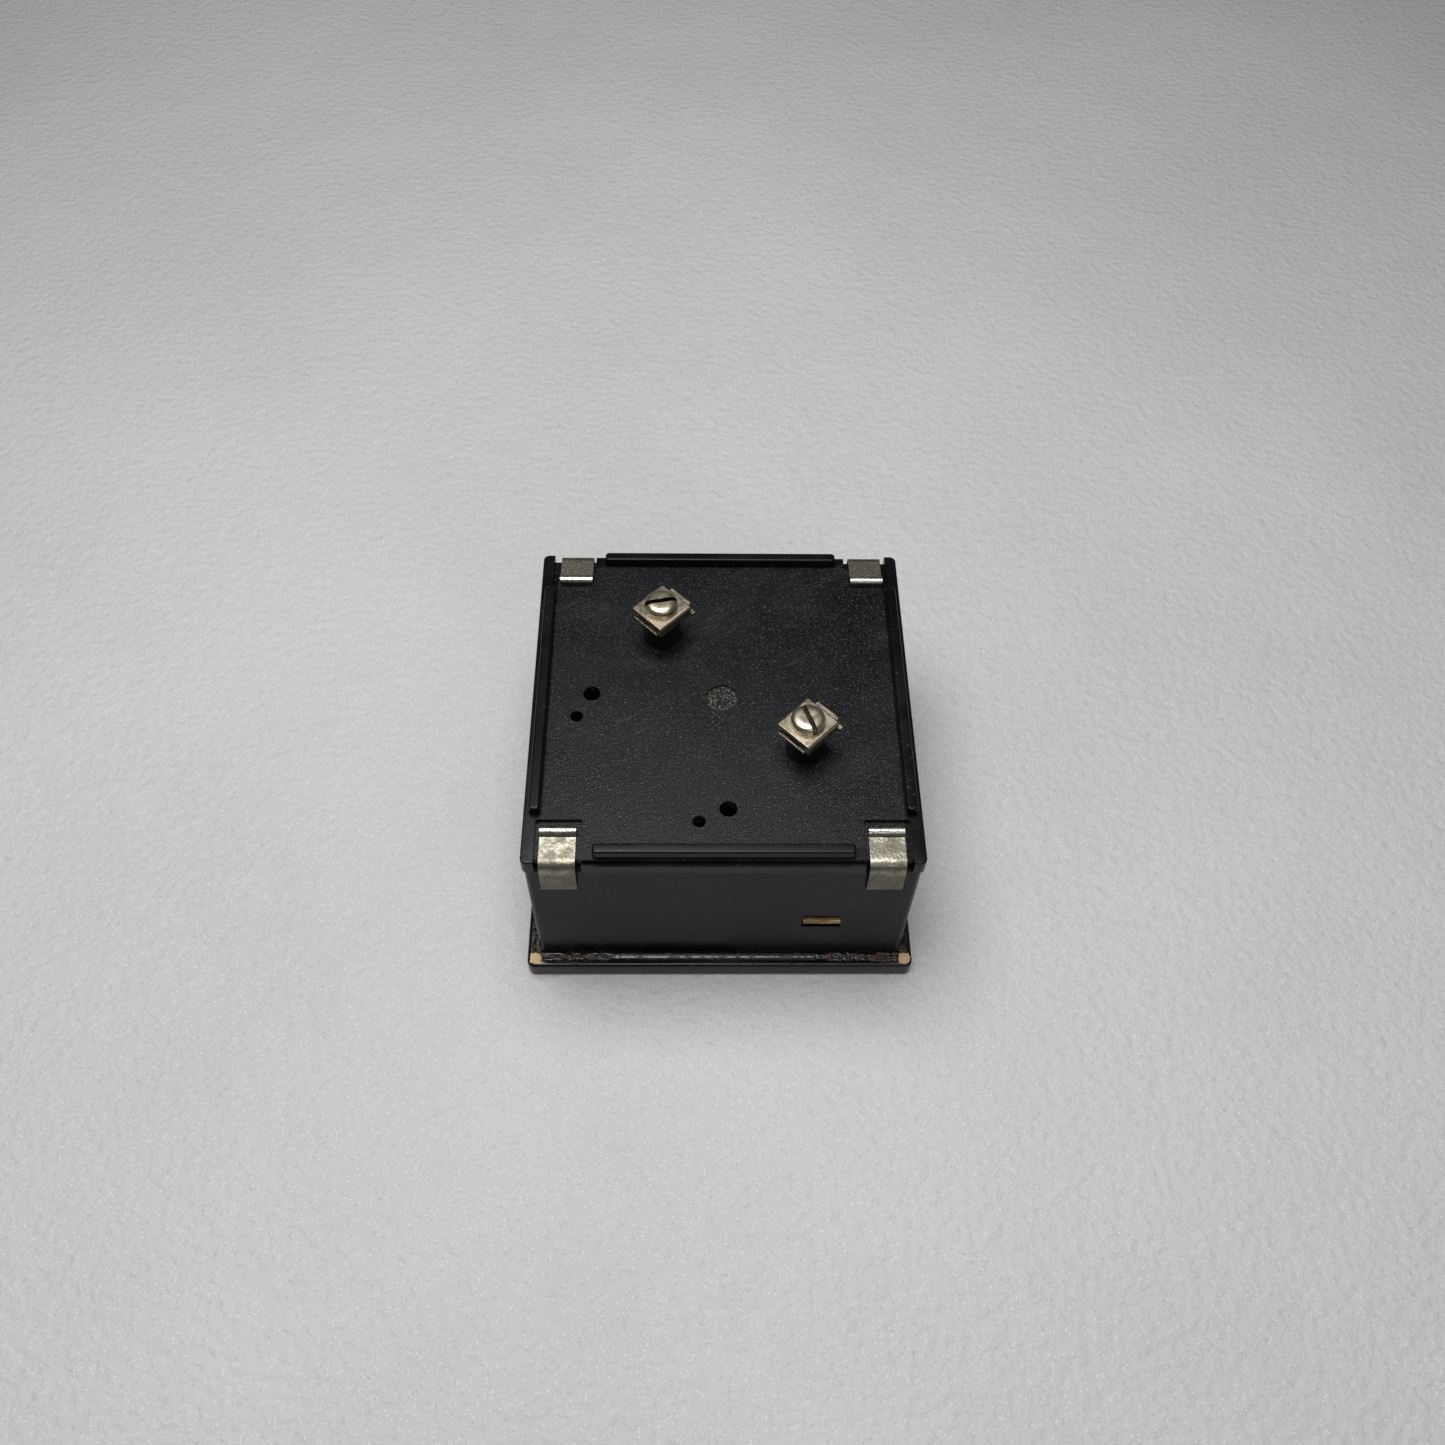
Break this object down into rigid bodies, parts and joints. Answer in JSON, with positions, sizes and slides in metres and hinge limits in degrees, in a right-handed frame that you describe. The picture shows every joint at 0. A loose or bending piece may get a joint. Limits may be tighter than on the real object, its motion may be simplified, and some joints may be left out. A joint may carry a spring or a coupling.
{
  "type": "analog panel meter",
  "caption": "Square analog panel meter with a quadrant moving-coil movement, clipped rear cover and clamp terminals with slotted screws.",
  "frame": {"origin": "centre of the bezel's front face, which the meter lies on", "axes": "+Z from the front face towards the rear cover; X and Y along the square's sides, with the dial's top towards -Y"},
  "size_m": [0.096, 0.096, 0.0656],
  "materials": {
    "black_gloss": "gloss",
    "black_grained": "fine spark-eroded grain",
    "black_insulator": "satin",
    "window": "polished",
    "seal": "matte",
    "nickel_strip": "nickel plate with tarnish",
    "nickel_terminal": "nickel plate over brass",
    "brass": "satin",
    "tinned_brass": "tinned",
    "dial_white": "satin white with black scale",
    "mask_black": "satin",
    "steel": "zinc plate",
    "soft_iron": "plated",
    "magnet": "ground",
    "aluminium": "rolled",
    "copper_winding": "enamelled",
    "spring_bronze": "drawn",
    "pointer_black": "matte",
    "resistor_body": "phenolic",
    "wire": "insulated"
  },
  "bodies": {
    "housing": {"bezel": "black_gloss", "case": "black_gloss", "rear_cover": "black_grained", "window_glass": "window", "glass_seal": "seal", "cover_clip_near_left": "nickel_strip", "cover_clip_near_right": "nickel_strip", "cover_clip_far_left": "nickel_strip", "cover_clip_far_right": "nickel_strip", "clamp_anchor_near": "brass", "clamp_anchor_far": "brass", "dial_plate": "dial_white", "dial_pillars": "brass", "dial_screws": "brass", "corner_mask": "mask_black", "pointer_stops": "brass", "movement_plate": "aluminium", "movement_screws": "steel", "yoke_ring": "soft_iron", "yoke_screws": "steel", "core_magnet": "magnet", "core_supports": "aluminium", "front_bridge": "aluminium", "front_bridge_screws": "steel", "front_jewel_screw": "brass", "rear_bridge": "aluminium", "rear_bridge_screws": "steel", "rear_jewel_screw": "brass", "rear_spring_stud": "brass", "lever_washer": "spring_bronze", "resistor_bobbin": "resistor_body", "resistor_winding": "copper_winding", "lead_wires": "wire", "terminal_collar_a": "black_insulator", "terminal_post_a": "brass", "terminal_plate_a": "nickel_terminal", "terminal_washer_a": "brass", "solder_lug_a": "tinned_brass", "terminal_nut_a": "brass", "terminal_collar_b": "black_insulator", "terminal_post_b": "brass", "terminal_plate_b": "nickel_terminal", "terminal_washer_b": "brass", "solder_lug_b": "tinned_brass", "terminal_nut_b": "brass"},
    "pointer_assembly": {"pointer": "pointer_black", "balance_weights": "brass", "coil_former": "aluminium", "coil_winding": "copper_winding", "front_spindle": "steel", "rear_spindle": "steel", "front_hairspring": "spring_bronze", "rear_hairspring": "spring_bronze"},
    "zero_adjuster_body": {"zero_adjuster": "mask_black"},
    "zero_lever_body": {"zero_lever": "brass"},
    "clamp_a": {"clamp_plate_a": "nickel_terminal"},
    "screw_a": {"clamp_screw_a": "nickel_terminal"},
    "clamp_b": {"clamp_plate_b": "nickel_terminal"},
    "screw_b": {"clamp_screw_b": "nickel_terminal"}
  },
  "joints": [
    {"name": "pointer_swing", "type": "hinge", "parent": "housing", "child": "pointer_assembly", "pos_m": [0.025, 0.025, 0.0118], "axis": [0, 0, 1], "range_deg": [-4.5, 96.5], "stiffness_Nm_per_rad": 0.0000064, "deforming": ["front_hairspring", "rear_hairspring"]},
    {"name": "zero_adjuster_turn", "type": "hinge", "parent": "housing", "child": "zero_adjuster_body", "pos_m": [0.03349, 0.03349, 0.002], "axis": [0, 0, 1], "range_deg": [-35, 35]},
    {"name": "zero_lever_turn", "type": "hinge", "parent": "housing", "child": "zero_lever_body", "pos_m": [0.025, 0.025, 0.009], "axis": [0, 0, 1], "range_deg": [-3.3, 3.3]},
    {"name": "clamp_a_lift", "type": "slide", "parent": "housing", "child": "clamp_a", "axis": [0, 0, 1], "range_m": [-0.0012, 0.0025]},
    {"name": "screw_a_turn", "type": "hinge", "parent": "clamp_a", "child": "screw_a", "pos_m": [-0.0147, 0.0193, 0.063], "axis": [0, 0, 1], "range_deg": [-619, 1287]},
    {"name": "clamp_b_lift", "type": "slide", "parent": "housing", "child": "clamp_b", "axis": [0, 0, 1], "range_m": [-0.0012, 0.0025]},
    {"name": "screw_b_turn", "type": "hinge", "parent": "clamp_b", "child": "screw_b", "pos_m": [0.0193, -0.0147, 0.063], "axis": [0, 0, 1], "range_deg": [-619, 1287]}
  ],
  "couplings": [
    {"joint": "zero_lever_turn", "follows": "zero_adjuster_turn", "ratio": 0.0909},
    {"joint": "screw_a_turn", "follows": "clamp_a_lift", "rad_per_m": 8976},
    {"joint": "screw_b_turn", "follows": "clamp_b_lift", "rad_per_m": 8976}
  ]
}
